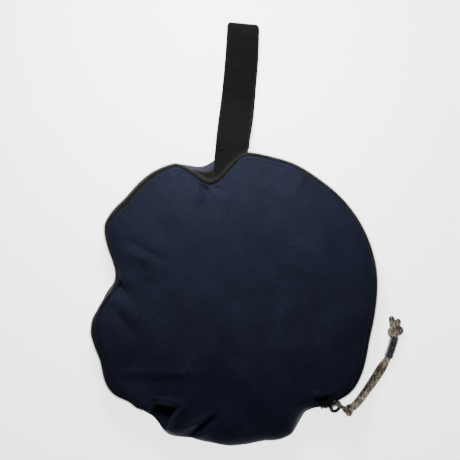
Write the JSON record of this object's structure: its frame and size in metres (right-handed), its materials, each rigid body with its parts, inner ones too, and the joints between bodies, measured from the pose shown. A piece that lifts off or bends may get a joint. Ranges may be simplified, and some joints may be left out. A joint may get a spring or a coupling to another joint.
{
  "type": "rope storage bag",
  "caption": "Round flat zipped cloth bag for a coiled rope, with a folded webbing hanging loop and a knotted cord zip pull.",
  "frame": {"origin": "middle of the back panel's underside, which rests on the ground; the centre of the circle the zip runs on", "axes": "+Z out of the front panel, +Y towards the webbing loop, +X towards the side where the zip slider rests"},
  "size_m": [0.2609, 0.3503, 0.0413],
  "materials": {
    "navy_cloth": "woven",
    "black_tape": "woven",
    "coil_plastic": "satin",
    "webbing": "ribbed weave",
    "black_metal": "satin",
    "camouflage_cord": "braided",
    "sleeve_plastic": "satin"
  },
  "bodies": {
    "shell": {"back_panel": "navy_cloth", "side_gusset": "navy_cloth", "hinge_gusset": "navy_cloth", "back_seam_binding": "black_tape", "back_zip_tape": "black_tape", "back_zip_coil": "coil_plastic", "zip_top_stop": "coil_plastic", "zip_bottom_stop": "coil_plastic", "front_hinge_flap": "navy_cloth", "loop_anchor": "webbing", "loop_bar_tack_left": "black_tape", "loop_bar_tack_right": "black_tape"},
    "lid": {"front_panel": "navy_cloth", "front_zip_tape": "black_tape", "front_zip_coil": "coil_plastic", "front_seam_binding": "black_tape"},
    "slider": {"slider_body": "black_metal", "slider_bail": "black_metal"},
    "pull": {"pull_bight": "camouflage_cord", "ring_knot": "camouflage_cord", "pull_strand_a": "camouflage_cord", "pull_strand_b": "camouflage_cord", "cord_sleeve": "sleeve_plastic", "end_knot": "camouflage_cord", "cord_tail_a": "camouflage_cord", "cord_tail_b": "camouflage_cord"},
    "loop": {"webbing_loop": "webbing"}
  },
  "joints": [
    {"name": "slider_travel", "type": "hinge", "parent": "shell", "child": "slider", "pos_m": [0, 0, 0.028], "axis": [0, 0, 1], "range_deg": [0, 273], "deforming": ["pull_bight", "ring_knot", "pull_strand_a", "pull_strand_b", "cord_sleeve", "end_knot", "cord_tail_a", "cord_tail_b"]},
    {"name": "lid_hinge", "type": "hinge", "parent": "shell", "child": "lid", "pos_m": [0, -0.0917, 0.04], "axis": [1, 0, 0], "range_deg": [0, 175]},
    {"name": "loop_swing", "type": "hinge", "parent": "shell", "child": "loop", "pos_m": [0, 0.1272, 0.0172], "axis": [0.9956, -0.0941, 0], "range_deg": [0, 100]},
    {"name": "pull_swing", "type": "hinge", "parent": "slider", "child": "pull", "pos_m": [0.08475, -0.08931, 0.0304], "axis": [0, 0, 1], "range_deg": [-100, 3]}
  ]
}
